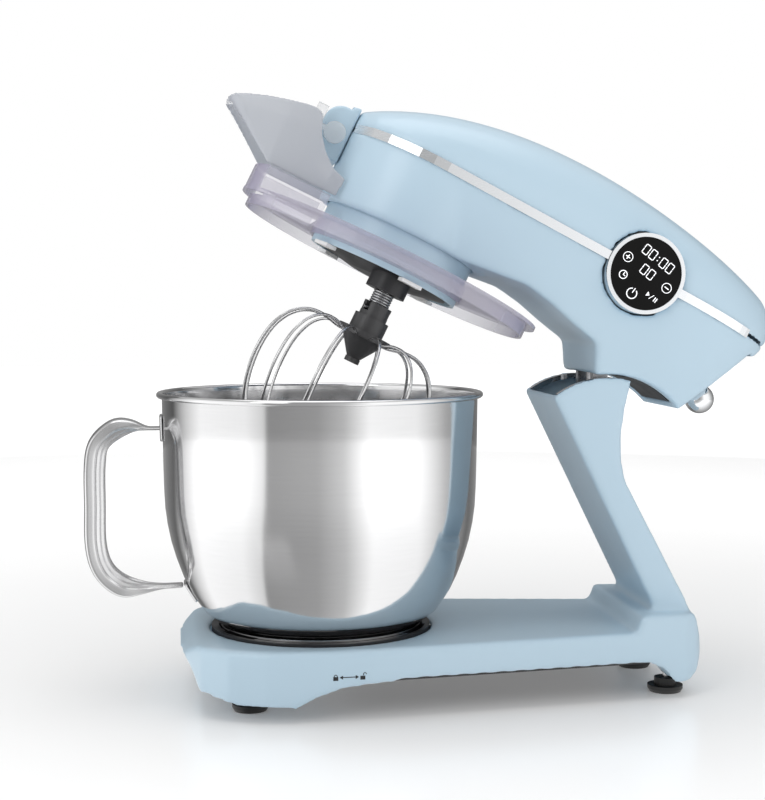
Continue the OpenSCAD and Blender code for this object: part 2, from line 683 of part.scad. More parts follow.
// The scoop: a rounded mouth over the guard's wall, flaring forward to a rounded tip
module chute_solid(t) {
    hull() {
        translate([0, 0, 255 - t]) intersection() {
            cylinder(r = guard_r - 0.4 - t, h = 0.2);
            translate([-guard_r, -chute_hw + 0.8 + t, 0]) cube([guard_r - 54, 2 * (chute_hw - 0.8 - t), 0.2]);
        }
        translate([-160, 0, 312]) scale([1.15, 1, 1]) cylinder(r = 30 - t, h = 0.2);
        translate([-104, 0, 312]) cylinder(r = 46 - t, h = 0.2);
        translate([-90, -46 + t, 312]) cube([30, 92 - 2 * t, 0.2]);
    }
}
module pour_chute() {
    color([0.75, 0.76, 0.78, 0.6]) raised() difference() {
        intersection() {
            chute_solid(0);
            side_on(110) polygon([[-180, 250], [-180, 270], [-157.5, 283.2], [-156.6, 286.4], [-153, 289.5],
                [-146, 292.5], [-133, 297], [-119, 300.5], [-104, 303.6], [-98, 304.4], [-93, 303.4], [-90, 300],
                [-86, 290], [-78, 280], [-68, 272], [-54, 267.5], [-54, 250]]);
        }
        chute_solid(2);
        translate([0, 0, 240]) cylinder(r = 69.8, h = 90);
    }
}

// ---- tilt lever and lock ----
module at_lever_stem() { translate([lever_x + 10, 0, lever_z - 2.2]) rotate([0, 92, 0]) children(); }
module lever_arm() {
    color("silver") raised() union() {
        translate([lever_x, 0, lever_z]) rotate([90, 0, 0]) cylinder(r = 4, h = 30, center = true, $fn = 48);
        translate([lever_x - 26, -3, lever_z - 2]) cube([40, 6, 4]);
        at_lever_stem() cylinder(r = 3, h = 47, $fn = 48);
    }
}
module lever_knob() {
    color("silver") raised() at_lever_stem() difference() {
        translate([0, 0, 52]) rotate([90, 0, 0]) sphere(r = 11);
        translate([0, 0, 30]) cylinder(r = 3, h = 17, $fn = 48);
    }
}
module lock_bolt() {
    color("silver") raised() translate([pivot_x, 0, pivot_z]) rotate([0, -head_open, 0]) union() {
        translate([0, 0, 52.2]) cylinder(r = bolt_r, h = 33, $fn = 48);
        translate([0, 0, 84]) cylinder(r = 6, h = 2.5, $fn = 48);
    }
}
module bolt_spring() {
    color("silver") raised() translate([pivot_x, 0, pivot_z]) rotate([0, -head_open, 0])
        for (i = [0 : 3]) translate([0, 0, 77.4 + i * 1.8])
            rotate_extrude() translate([5.2, 0]) circle(r = 0.7, $fn = 16);
}

stand_casting();
base_cover();
rubber_feet();
foot_screws();
bowl_socket();
socket_screws();
hinge_pin();
pin_bushes();
pin_rings();
latch_block();
saddle_rails();
upper_shell();
lower_shell();
trim_strips();
nose_cap();
collar();
saddle_liner();
tilt_frame();
frame_screws();
gearbox_housing();
ring_gear();
shaft_bushes();
motor_can();
motor_bracket();
drive_belt();
speed_board();
display_body();
display_bezel();
display_glass();
display_board();
case_screws();
planet_carrier();
main_shaft();
drive_pulley();
spindle();
planet_gear();
whisk_pin();
push_spring();
motor_armature();
motor_shaft();
motor_pulley();
whisk_hub();
whisk_ferrule();
whisk_cage();
bowl_shell();
bowl_foot();
bowl_handle();
splash_guard();
guard_lugs();
chute_bracket();
pour_chute();
lever_arm();
lever_knob();
lock_bolt();
bolt_spring();
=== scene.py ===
# %% [markdown]
# # A tilt-head stand mixer
# The working model gives the frame, the axes and the plain solids. This file gives each visible
# piece its finished surface: enamelled castings, a polished bowl, clear and smoky mouldings.

# %% Load the frame
import bpy, bmesh, json, math
from mathutils import Matrix, Vector


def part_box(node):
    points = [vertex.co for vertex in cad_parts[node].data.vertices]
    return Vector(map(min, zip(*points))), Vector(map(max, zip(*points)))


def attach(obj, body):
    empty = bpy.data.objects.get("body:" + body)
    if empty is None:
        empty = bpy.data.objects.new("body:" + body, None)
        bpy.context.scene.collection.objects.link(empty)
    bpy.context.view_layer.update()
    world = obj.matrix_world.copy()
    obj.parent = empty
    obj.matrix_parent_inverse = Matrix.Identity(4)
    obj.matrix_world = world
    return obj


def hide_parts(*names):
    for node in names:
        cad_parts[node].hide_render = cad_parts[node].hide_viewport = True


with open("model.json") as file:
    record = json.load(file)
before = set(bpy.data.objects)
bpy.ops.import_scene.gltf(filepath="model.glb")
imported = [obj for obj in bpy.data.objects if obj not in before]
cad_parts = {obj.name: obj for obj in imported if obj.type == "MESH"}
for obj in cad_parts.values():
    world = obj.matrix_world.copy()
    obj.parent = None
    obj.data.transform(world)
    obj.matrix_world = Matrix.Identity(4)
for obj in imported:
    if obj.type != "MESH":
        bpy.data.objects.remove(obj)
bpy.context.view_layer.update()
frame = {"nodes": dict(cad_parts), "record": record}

MM = 0.001

# %% [markdown]
# The head is drawn tipped back. Pieces of the head are easier to make level, as they sit when the
# head is down, so one matrix tips them about the hinge pin. It comes from the tilt joint itself.

# %% Axes and frames
joints = {j["name"]: j for j in frame["record"]["behaviour"]["joints"]}
hinge = Vector(joints["head_tilt"]["pos_m"])
head_open = -math.radians(joints["head_tilt"]["range_deg"][0])
bowl_axis = Vector((joints["bowl_twist"]["pos_m"][0], 0, 0))
tip_back = Matrix.Translation(hinge) @ Matrix.Rotation(head_open, 4, "Y") @ Matrix.Translation(-hinge)
at_bowl = Matrix.Translation(bowl_axis)
in_head = tip_back @ at_bowl
spindle_point = in_head.inverted() @ Vector(joints["planet_spin"]["pos_m"])
at_whisk = in_head @ Matrix.Translation((spindle_point.x, spindle_point.y, 0))
print("hinge", hinge, "whisk axis", spindle_point)

# %% [markdown]
# Shader maths reads best as arithmetic. A small class wraps a socket, so that `a * 0.5 + b`
# adds the Math nodes, and one method adds any other node.

# %% A socket that does sums
class Wire:
    def __init__(self, shop, socket):
        self.shop, self.socket = shop, socket

    def _sum(self, how, other, flip=False):
        pair = (other, self) if flip else (self, other)
        return self.shop.node("ShaderNodeMath", {"operation": how}, {0: pair[0], 1: pair[1]})

    def __add__(self, other): return self._sum("ADD", other)
    def __radd__(self, other): return self._sum("ADD", other, True)
    def __sub__(self, other): return self._sum("SUBTRACT", other)
    def __rsub__(self, other): return self._sum("SUBTRACT", other, True)
    def __mul__(self, other): return self._sum("MULTIPLY", other)
    def __rmul__(self, other): return self._sum("MULTIPLY", other, True)
    def __truediv__(self, other): return self._sum("DIVIDE", other)
    def __pow__(self, other): return self._sum("POWER", other)


class Finish:
    """One material: its nodes, and its Principled shader's plain numbers."""

    def __init__(self, name, **numbers):
        self.material = bpy.data.materials.new(name)
        self.material.use_nodes = True
        self.tree = self.material.node_tree
        self.shader = self.tree.nodes["Principled BSDF"]
        for key, value in numbers.items():
            self.shader.inputs[key.replace("_", " ")].default_value = value

    def node(self, kind, settings=None, inputs=None, out=0):
        made = self.tree.nodes.new(kind)
        for key, value in (settings or {}).items():
            if key == "stops":
                while len(made.color_ramp.elements) < len(value):
                    made.color_ramp.elements.new(0.5)
                for stop, (place, colour) in zip(made.color_ramp.elements, value):
                    stop.position, stop.color = place, colour
            else:
                setattr(made, key, value)
        for key, value in (inputs or {}).items():
            if isinstance(value, Wire):
                self.tree.links.new(value.socket, made.inputs[key])
            else:
                made.inputs[key].default_value = value
        return Wire(self, made.outputs[out])

    def set(self, **wires):
        for key, wire in wires.items():
            self.tree.links.new(wire.socket, self.shader.inputs[key.replace("_", " ")])

    def place(self):
        return self.node("ShaderNodeTexCoord", out="Object")

    def noise(self, scale, detail=3.0, rough=0.5, vector=None):
        return self.node("ShaderNodeTexNoise", {}, {"Vector": vector or self.place(),
            "Scale": scale, "Detail": detail, "Roughness": rough})

    def stretched(self, factors):
        return self.node("ShaderNodeMapping", {}, {"Vector": self.place(), "Scale": factors})

    def between(self, mask, low, high):
        return self.node("ShaderNodeMapRange", {}, {"Value": mask, "From Min": 0.3, "From Max": 0.7,
            "To Min": low, "To Max": high})

    def tint(self, mask, first, second):
        return self.node("ShaderNodeMix", {"data_type": "RGBA"},
            {"Factor": mask, 6: (*first, 1), 7: (*second, 1)}, out=2)

    def bump(self, height, strength, distance):
        self.set(Normal=self.node("ShaderNodeBump", {}, {"Height": height, "Strength": strength,
            "Distance": distance}))


# %% [markdown]
# ## Finishes
# Pale blue enamel is sprayed and baked: almost flat colour, a soft gloss, and a faint orange-peel
# ripple. A noise at millimetre scale makes the ripple, and a slow one moves the gloss a little.

# %% Blue enamel
blue = Finish("blue_enamel", Specular_IOR_Level=0.5, Coat_Weight=0.35, Coat_Roughness=0.22)
cloud = blue.noise(9.0, 2.0)
blue.set(Base_Color=blue.tint(cloud, (0.475, 0.625, 0.735), (0.50, 0.655, 0.765)),
         Roughness=blue.between(blue.noise(30.0, 3.0), 0.36, 0.44))
blue.bump(blue.noise(900.0, 1.0), 0.12, 0.00008)

# %% [markdown]
# Stainless sheet is polished round the bowl's axis, so its scratches are long thin rings.
# Stretching the noise along the wall gives that grain.

# %% Polished steel
def steel_finish(name, colour, rough, grain=(40, 40, 900), spread=0.05):
    steel = Finish(name, Metallic=1.0)
    lines = steel.noise(1.0, 4.0, 0.6, steel.stretched(grain))
    smear = steel.noise(14.0, 3.0)
    dark = tuple(c * 0.93 for c in colour)
    steel.set(Base_Color=steel.tint(lines, dark, colour),
              Roughness=steel.between(lines, rough - spread / 2, rough + spread / 2)
              + (smear - 0.5) * 0.06)
    steel.bump(lines, 0.06, 0.00005)
    return steel.material


bowl_steel = steel_finish("polished_sheet", (0.74, 0.74, 0.745), 0.1, spread=0.03)
handle_steel = steel_finish("pressed_handle", (0.68, 0.68, 0.685), 0.24, (300, 300, 60))
machined = steel_finish("machined_steel", (0.55, 0.55, 0.56), 0.3, (500, 500, 500), 0.1)
wire_steel = steel_finish("bright_wire", (0.62, 0.62, 0.625), 0.2, (200, 200, 60))
trim = steel_finish("satin_trim", (0.86, 0.88, 0.90), 0.26, (30, 30, 1200))
chrome = steel_finish("bright_plate", (0.84, 0.85, 0.86), 0.05, (60, 60, 60), 0.02)
cast = steel_finish("as_cast_alloy", (0.42, 0.43, 0.44), 0.5, (250, 250, 250), 0.2)
bronze = steel_finish("sintered_bronze", (0.52, 0.36, 0.18), 0.42, (900, 900, 900), 0.2)
copper = steel_finish("wound_copper", (0.62, 0.30, 0.14), 0.35, (60, 60, 1500), 0.1)

# %% [markdown]
# Black and grey mouldings come out of a spark-eroded tool, which leaves a fine even grain.
# Rubber is the same idea, coarser and duller.

# %% Mouldings and rubber
def moulding(name, colour, rough, grain=1400.0, depth=0.00006, **numbers):
    made = Finish(name, **numbers)
    patch = made.noise(25.0, 3.0)
    light = tuple(min(1, c * 1.18 + 0.004) for c in colour)
    made.set(Base_Color=made.tint(patch, colour, light),
             Roughness=made.between(made.noise(60.0, 3.0), rough - 0.05, rough + 0.05))
    made.bump(made.noise(grain, 2.0), 0.25, depth)
    return made.material


black_case = moulding("black_moulding", (0.017, 0.017, 0.019), 0.42)
hub_grey = moulding("hub_grey", (0.042, 0.042, 0.044), 0.38)
rubber = moulding("black_rubber", (0.008, 0.008, 0.008), 0.55, 500.0, 0.0002)
white_case = moulding("white_moulding", (0.80, 0.80, 0.80), 0.3)
board = moulding("solder_resist", (0.02, 0.10, 0.04), 0.35)
black_glass = moulding("display_glass", (0.0015, 0.0015, 0.0015), 0.16, 100.0, 0.00001,
                       Specular_IOR_Level=0.12)
white_ink = moulding("white_ink", (0.85, 0.86, 0.87), 0.4, 800.0, 0.00001)
for socket, value in (("Emission Color", (0.9, 0.93, 1.0, 1)), ("Emission Strength", 0.55)):
    white_ink.node_tree.nodes["Principled BSDF"].inputs[socket].default_value = value
dark_ink = moulding("dark_ink", (0.012, 0.012, 0.014), 0.5, 800.0, 0.00001)

# %% [markdown]
# Clear plastic shows mostly by its edges. A thin wall that lets light straight through, with more
# of its own colour where it is seen edge-on, reads as clear acrylic with a faint violet edge.

# %% Clear and smoky plastic
def see_through(name, body, edge, clear, solid, rough):
    made = Finish(name, Specular_IOR_Level=0.6)
    facing = made.node("ShaderNodeLayerWeight", {}, {"Blend": 0.5}, out="Facing")
    swirl = made.noise(18.0, 2.0)
    edge_on = facing ** 1.6
    made.set(Base_Color=made.tint(edge_on, body, edge),
             Alpha=edge_on * (solid - clear) + clear + (swirl - 0.5) * 0.03,
             Roughness=made.between(made.noise(40.0, 2.0), rough, rough + 0.05))
    made.bump(made.noise(60.0, 1.0), 0.05, 0.0001)
    return made.material


clear = see_through("clear_guard", (0.62, 0.60, 0.70), (0.36, 0.33, 0.47), 0.22, 0.86, 0.06)
clear_white = see_through("clear_bracket", (0.86, 0.87, 0.88), (0.62, 0.64, 0.66), 0.3, 0.85, 0.08)
smoke = see_through("smoky_chute", (0.52, 0.545, 0.59), (0.42, 0.44, 0.50), 0.80, 0.95, 0.22)

# %% [markdown]
# ## Making pieces
# Every new piece ends as one mesh at the origin that rides on its body and stands for the plain
# solids it covers. `finish_piece` does that for all of them.

# %% Helpers for pieces
def finish_piece(bm, name, body, nodes, materials, smooth=35, modifiers=()):
    bmesh.ops.remove_doubles(bm, verts=bm.verts, dist=1e-6)
    mesh = bpy.data.meshes.new(name)
    bm.to_mesh(mesh)
    bm.free()
    piece = bpy.data.objects.new(name, mesh)
    bpy.context.scene.collection.objects.link(piece)
    for m in materials if isinstance(materials, (list, tuple)) else [materials]:
        mesh.materials.append(m)
    for face in mesh.polygons:
        face.use_smooth = True
    mesh.set_sharp_from_angle(angle=math.radians(smooth))
    for kind, settings in modifiers:
        added = piece.modifiers.new(kind.title(), kind)
        for key, value in settings.items():
            setattr(added, key, value)
    if nodes:
        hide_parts(*nodes)
    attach(piece, body)
    print(name, len(mesh.polygons), "faces")
    return piece


def outward(bm):
    bmesh.ops.remove_doubles(bm, verts=bm.verts, dist=1e-6)
    bmesh.ops.recalc_face_normals(bm, faces=bm.faces)
    return bm


def turned(profile, matrix, steps=96, closed=True):
    """Spin an outline of (radius, height) in millimetres once round the local Z axis."""
    bm = bmesh.new()
    points = [bm.verts.new((r * MM, 0, z * MM)) for r, z in profile]
    pairs = list(zip(points, points[1:])) + ([(points[-1], points[0])] if closed else [])
    edges = [bm.edges.new(p) for p in pairs]
    bmesh.ops.spin(bm, geom=points + edges, cent=(0, 0, 0), axis=(0, 0, 1), angle=math.tau,
                   steps=steps, use_merge=True)
    outward(bm)
    bm.transform(matrix)
    return bm


def arc(cx, cz, r, start, end, steps=6):
    turns = [math.radians(start + (end - start) * i / steps) for i in range(steps + 1)]
    return [(cx + r * math.cos(t), cz + r * math.sin(t)) for t in turns]


# %% [markdown]
# A casting has no sharp edge anywhere. The working solid is exact but sharp, so a copy is
# remeshed into small even cells and its vertices relaxed a few times, which rolls every edge
# to a radius of about a cell and a half and leaves the flat faces flat.

# %% Soft-edged castings
def softened(node, name, body, material, cell, relax, smooth=60):
    bm = bmesh.new()
    bm.from_mesh(frame["nodes"][node].data)
    bmesh.ops.remove_doubles(bm, verts=bm.verts, dist=1e-5)
    raw = bpy.data.meshes.new(name + "_raw")
    bm.to_mesh(raw)
    bm.free()
    work = bpy.data.objects.new(name + "_work", raw)
    bpy.context.scene.collection.objects.link(work)
    remesh = work.modifiers.new("Cells", "REMESH")
    remesh.mode = "VOXEL"
    remesh.voxel_size = cell * MM
    done = bpy.data.meshes.new_from_object(work.evaluated_get(bpy.context.evaluated_depsgraph_get()))
    bpy.data.objects.remove(work)
    bm = bmesh.new()
    bm.from_mesh(done)
    for _ in range(relax):
        bmesh.ops.smooth_vert(bm, verts=bm.verts, factor=0.5, use_axis_x=True, use_axis_y=True,
                              use_axis_z=True)
    return finish_piece(bm, name, body, [node], material, smooth)


softened("stand_casting", "stand_enamelled", "stand", blue.material, 2.0, 6)
softened("lower_shell", "lower_case", "head", blue.material, 1.9, 7)
softened("upper_shell", "upper_case", "head", blue.material, 2.0, 7)
softened("nose_cap", "nose_block", "head", blue.material, 0.9, 6)
softened("pour_chute", "chute_smoky", "chute", smoke, 0.8, 5)

# %% [markdown]
# ## The bowl
# The bowl is spun from one disc of sheet: a rolled rim, a near-straight wall and a rounded
# belly. Spinning the sheet's own cross-section keeps the wall one sheet thick all round.

# %% Bowl
wall_points = [(74, 52), (80, 57.5), (86, 62), (91, 69), (96, 77), (101, 87.5), (106, 101), (109.6, 113),
               (112.3, 126), (113.9, 138), (114.6, 152), (115.0, 170), (115.4, 192), (115.7, 216)]
lip = arc(117.6, 219.9, 2.2, 180, -120, 10)
inner = [(r - 1.2, z + 0.6) for r, z in reversed(wall_points)]
bowl_floor = [(60, 52.4), (30, 52.3), (0.01, 52.3), (0.01, 51), (30, 51), (60, 51)]
bowl_outline = wall_points + lip + [(114.6, 218.3)] + inner + bowl_floor
finish_piece(turned(bowl_outline, at_bowl, 160), "bowl_spun", "bowl", ["bowl_shell"], bowl_steel,
             50)

# %% [markdown]
# ## Swept pieces
# A handle and a whisk wire are one section carried along a line. The section is drawn once, then
# its edges are extruded from station to station, each turned to face along the line.

# %% Sweep helper
def smooth_line(points, count):
    """Catmull-Rom points through the given ones, evenly shared between them."""
    ends = [points[0] * 2 - points[1]] + list(points) + [points[-1] * 2 - points[-2]]
    line = []
    for a, b, c, d in zip(ends, ends[1:], ends[2:], ends[3:]):
        for k in range(count):
            t = k / count
            line.append(0.5 * (2 * b + (c - a) * t + (2 * a - 5 * b + 4 * c - d) * t * t
                               + (3 * b - a - 3 * c + d) * t ** 3))
    return line + [points[-1]]


def swept(section, line, side, widths=None, bm=None):
    """Carry a section of (across, outward) points along a line; side is the across direction."""
    bm = bm or bmesh.new()
    places = []
    for i, point in enumerate(line):
        ahead = (line[min(i + 1, len(line) - 1)] - line[max(i - 1, 0)]).normalized()
        out = ahead.cross(side).normalized()
        wide, deep = widths[i] if widths else (1, 1)
        turn = Matrix((side * wide, out * deep, ahead)).transposed().to_4x4()
        places.append(Matrix.Translation(point) @ turn)
    ring = [bm.verts.new(places[0] @ Vector((a, b, 0))) for a, b in section]
    edges = [bm.edges.new((v, w)) for v, w in zip(ring, ring[1:] + ring[:1])]
    bm.faces.new(ring)
    for before, after in zip(places, places[1:]):
        made = bmesh.ops.extrude_edge_only(bm, edges=edges)["geom"]
        edges = [g for g in made if isinstance(g, bmesh.types.BMEdge) and g.is_boundary]
        fresh = [g for g in made if isinstance(g, bmesh.types.BMVert)]
        bmesh.ops.transform(bm, matrix=after @ before.inverted(), verts=fresh)
    bmesh.ops.contextual_create(bm, geom=edges)
    return bm


# %% [markdown]
# The bowl's handle is pressed from sheet: a broad outer face, stepped sides and a hollow inner
# face in the grip, pinched flat where it is welded to the wall at each end.

# %% Bowl handle
handle_line = smooth_line([Vector((x, 0, z)) * MM for x, z in [
    (-115.4, 195.5), (-126, 195.5), (-138, 197), (-150, 194), (-160.5, 184), (-163.5, 168), (-163.6, 140),
    (-163.4, 112), (-158.5, 94), (-147, 82.5), (-133, 79.5), (-115, 80), (-101, 80.5)]], 6)
half = [(12.0, 4.6), (12.4, 6.2), (11.2, 7.4), (8.0, 8.2), (0, 8.6)]
groove = [(0, -4.6), (3.0, -4.8), (4.0, -6.6), (6.2, -7.0), (7.2, -6.0), (7.4, -4.0), (9.0, -3.2),
          (9.4, -1.2), (10.2, 0.0), (11.2, 0.6), (11.6, 2.4)]
right_side = groove + half
left_side = [(-a, b) for a, b in right_side[-2:0:-1]]
handle_section = [(a * MM, b * MM) for a, b in right_side + left_side]
last = len(handle_line) - 1
pinch = [min(1, max(0, (min(i, last - i) - 5) / 13)) for i in range(last + 1)]
pinch = [p * p * (3 - 2 * p) for p in pinch]
end_width, end_depth = 0.62, 0.17
swell = [(end_width + (1 - end_width) * p, end_depth + (1 - end_depth) * p) for p in pinch]
grip = swept(handle_section, handle_line, Vector((0, -1, 0)), swell)
# the weld plates at its two ends, bent to the wall
plates = [((-115.9, 186), (-116.3, 206)), ((-100.2, 83), (-91.2, 68.5))]
for (x0, z0), (x1, z1) in plates:
    down = [Vector((x0, 0, z0)) * MM, Vector(((x0 + x1) / 2, 0, (z0 + z1) / 2)) * MM,
            Vector((x1, 0, z1)) * MM]
    pad = [(a * MM, b * MM) for a, b in
           [(-11, -1.3), (0, -1.4), (11, -1.3), (12, 0), (11, 1.3), (0, 1.4), (-11, 1.3), (-12, 0)]]
    swept(pad, smooth_line(down, 4), Vector((0, -1, 0)), bm=grip)
outward(grip)
grip.transform(at_bowl)
finish_piece(grip, "bowl_handle_pressed", "bowl", ["bowl_handle"], handle_steel, 40,
             [("SUBSURF", {"levels": 1, "render_levels": 1})])

# %% [markdown]
# A whisk wire leaves the hub's rim, swings out over the belly and returns to the axis. Six loops
# make twelve strands; where they cross at the bottom, each lies a wire's thickness above the last.

# %% Whisk wires
def strand(low):
    top = [(15, 174.2), (21, 174.4), (33, 176.8), (45, 175.6), (56, 168.5), (63.5, 156), (66.6, 140),
           (66, 122), (61.5, 103), (52, 85), (37, 70.5), (19, low + 2.4), (0, low)]
    return [Vector((r, 0, z)) * MM for r, z in top]


wire_r = 1.05 * MM
wire_turns = [math.tau * i / 10 for i in range(10)]
wire_ring = [(wire_r * math.cos(t), wire_r * math.sin(t)) for t in wire_turns]
cage = bmesh.new()
for loop in range(6):
    half_loop = smooth_line(strand(64.5 + 1.9 * loop), 5)
    whole = half_loop + [Vector((-p.x, p.y, p.z)) for p in half_loop[-2::-1]]
    one = swept(wire_ring, whole, Vector((0, 1, 0)))
    one.transform(Matrix.Rotation(math.radians(30 * loop + 8), 4, "Z"))
    spare = bpy.data.meshes.new("loop")
    one.to_mesh(spare)
    one.free()
    cage.from_mesh(spare)
outward(cage)
cage.transform(at_whisk)
finish_piece(cage, "whisk_wires", "planet", ["whisk_cage"], wire_steel, 80)

# %% [markdown]
# ## Display
# The figures and signs are printed behind the glass and lit. Each is a thin flat mark on the
# disc, set out in a frame turned a little from the head's own line.

# %% Marks on the display
glass_low, glass_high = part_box("display_glass")
display_middle = in_head.inverted() @ ((glass_low + glass_high) / 2)
face_y = glass_low.y - 0.00012
text_turn = math.radians(12)
to_display = in_head @ Matrix.Translation((display_middle.x, face_y, display_middle.z)) \
    @ Matrix.Rotation(text_turn, 4, "Y") @ Matrix.Rotation(math.pi / 2, 4, "X")


def bar(bm, x, y, wide, high, turn=0.0):
    made = bmesh.ops.create_cube(bm, size=MM)["verts"]
    bmesh.ops.scale(bm, vec=(wide, high, 0.16), verts=made)
    bmesh.ops.rotate(bm, cent=(0, 0, 0), matrix=Matrix.Rotation(math.radians(turn), 3, "Z"), verts=made)
    bmesh.ops.translate(bm, vec=(x * MM, y * MM, 0), verts=made)


def hoop(bm, x, y, radius, thick, start=0, sweep=360):
    """A flat ring, or part of one, spun from its own small cross-section."""
    verts = [bm.verts.new(((radius + a * thick) * MM, 0, b * MM)) for a, b in
             [(-0.5, -0.08), (0.5, -0.08), (0.5, 0.08), (-0.5, 0.08)]]
    edges = [bm.edges.new((v, w)) for v, w in zip(verts, verts[1:] + verts[:1])]
    if sweep < 360:
        bm.faces.new(verts)
    seen = set(bm.verts) - set(verts)
    spun = bmesh.ops.spin(bm, geom=verts + edges, cent=(0, 0, 0), axis=(0, 0, 1), angle=math.radians(sweep),
                          steps=28, use_merge=sweep == 360)
    ring = [v for v in bm.verts if v not in seen]
    if sweep < 360:
        far_end = [g for g in spun["geom_last"] if isinstance(g, bmesh.types.BMEdge)]
        bmesh.ops.contextual_create(bm, geom=far_end)
    bmesh.ops.rotate(bm, cent=(0, 0, 0), matrix=Matrix.Rotation(math.radians(start), 3, "Z"), verts=ring)
    bmesh.ops.translate(bm, vec=(x * MM, y * MM, 0), verts=ring)


def nought(bm, x, y, wide=4.2, high=7.0, stroke=0.62):
    for s in (-1, 1):
        bar(bm, x + s * wide / 2, y + high / 4, stroke, high / 2 - stroke * 0.7)
        bar(bm, x + s * wide / 2, y - high / 4, stroke, high / 2 - stroke * 0.7)
        bar(bm, x, y + s * high / 2, wide - stroke * 0.9, stroke)


marks = bmesh.new()
for x in (-10.2, -4.2, 5.4, 11.4):
    nought(marks, x, 13.6)
for y in (12.2, 15.0):
    bar(marks, 0.6, y, 0.8, 0.8)
for x in (-2.8, 3.3):
    nought(marks, x, 1.6)
for side_x, arms in ((-17.8, (0, 90)), (18.3, (0,))):
    hoop(marks, side_x, 1.2, 3.5, 0.5)
    for turn in arms:
        bar(marks, side_x, 1.2, 3.6, 0.7, turn)
# a small dial for the timer
hoop(marks, -12.8, -10.8, 2.9, 0.6)
bar(marks, -12.8, -9.8, 0.6, 2.2)
bar(marks, -11.9, -10.8, 2.0, 0.6)
# on and off
hoop(marks, 0.4, -17.4, 3.7, 0.7, 115, 310)
bar(marks, 0.4, -14.9, 0.7, 3.8)
# start and pause
for k in range(7):
    bar(marks, 9.4 + 0.32 * k, -10.6, 0.34, 3.4 - 0.5 * k)
bar(marks, 13.4, -10.6, 0.5, 4.6, -24)
for x in (16.2, 17.7):
    bar(marks, x, -10.6, 0.7, 3.4)
outward(marks)
marks.transform(to_display)
finish_piece(marks, "display_marks", "head", [], white_ink, 30)

# %% [markdown]
# The padlocks and the double arrow beside the bowl's seat are pad-printed on the casting's side.

# %% Lock marks on the base
side_turn = math.atan2(3.0, 40.0)
to_side = at_bowl @ Matrix.Translation(Vector((10.5, -98.02, 31.4)) * MM) \
    @ Matrix.Rotation(side_turn, 4, "Z") @ Matrix.Rotation(math.pi / 2, 4, "X")
locks = bmesh.new()
for x, gap in ((-9.4, 0.0), (9.4, 1.5)):
    bar(locks, x, -0.7, 3.4, 2.6)
    hoop(locks, x + gap, 0.9 + gap * 0.5, 1.05, 0.5, 0, 180)
    for s in (-1, 1):
        if s < 0 or not gap:
            bar(locks, x + gap + s * 1.05, 0.7 + gap * 0.4, 0.5, 0.9)
bar(locks, 0, 0, 9.4, 0.55)
for s in (-1, 1):
    for k in range(6):
        bar(locks, s * (6.4 - 0.36 * k), 0, 0.38, 0.35 + 0.42 * k)
outward(locks)
locks.transform(to_side)
finish_piece(locks, "lock_marks", "stand", [], dark_ink, 30)

# %% [markdown]
# ## Materials on the working pieces
# Pieces whose plain shape is already right keep it and take a finish by name.

# %% Finishes by name
by_finish = {
    blue.material: ["collar", "display_body"],
    machined: ["foot_screws", "socket_screws", "hinge_pin", "pin_rings", "frame_screws", "case_screws",
               "main_shaft", "spindle", "planet_gear", "ring_gear", "whisk_pin", "push_spring",
               "motor_shaft", "lock_bolt", "bolt_spring", "motor_bracket", "tilt_frame"],
    cast: ["gearbox_housing", "motor_can", "motor_pulley"],
    bronze: ["pin_bushes", "shaft_bushes"],
    copper: ["motor_armature"],
    black_case: ["base_cover", "bowl_socket", "latch_block", "saddle_liner", "planet_carrier",
                 "drive_pulley"],
    hub_grey: ["whisk_hub", "whisk_ferrule"],
    rubber: ["rubber_feet", "drive_belt"],
    chrome: ["saddle_rails", "lever_knob", "lever_arm"],
    trim: ["trim_strips", "display_bezel"],
    bowl_steel: ["bowl_foot"],
    clear: ["splash_guard"],
    clear_white: ["chute_bracket"],
    black_glass: ["display_glass"],
    white_case: ["guard_lugs"],
    board: ["speed_board", "display_board"],
}
for material, names in by_finish.items():
    for name in names:
        node = frame["nodes"][name]
        node.data.materials.clear()
        node.data.materials.append(material)
print("finished by name", sum(len(v) for v in by_finish.values()))

# %% [markdown]
# ## Camera, floor and light
# A long lens a little above the rim keeps the bowl's mouth a thin ellipse. A pale floor and
# large soft panels give broad highlights; a banded wall puts the crisp edges on the steel.

# %% Camera
camera_data = bpy.data.cameras.new("view")
camera_data.sensor_width = 36
camera_data.lens = 69.989
camera = bpy.data.objects.new("view", camera_data)
bpy.context.scene.collection.objects.link(camera)
camera.location = bowl_axis + Vector((-0.10398, -1.14009, 0.28594))
yaw, pitch = 0.1310, 0.0618
aim = Vector((math.sin(yaw) * math.cos(pitch), math.cos(yaw) * math.cos(pitch), -math.sin(pitch)))
camera.rotation_euler = aim.to_track_quat("-Z", "Y").to_euler()
bpy.context.scene.camera = camera

# %% Floor and light
floor_bm = bmesh.new()
bmesh.ops.create_grid(floor_bm, x_segments=1, y_segments=1, size=6)
floor_mesh = bpy.data.meshes.new("floor")
floor_bm.to_mesh(floor_mesh)
floor_bm.free()
floor = bpy.data.objects.new("floor", floor_mesh)
bpy.context.scene.collection.objects.link(floor)

# The camera looks at plain white paper; everything else sees a dimmer, even room overhead.
world = bpy.data.worlds.new("studio")
bpy.context.scene.world = world
world.use_nodes = True
sky = world.node_tree
ray = sky.nodes.new("ShaderNodeLightPath")
room = sky.nodes.new("ShaderNodeMix")
room.data_type = "RGBA"
room.inputs[6].default_value = (0.62, 0.62, 0.62, 1)
room.inputs[7].default_value = (1, 1, 1, 1)
sky.links.new(ray.outputs["Is Camera Ray"], room.inputs["Factor"])
sky.links.new(room.outputs[2], sky.nodes["Background"].inputs["Color"])

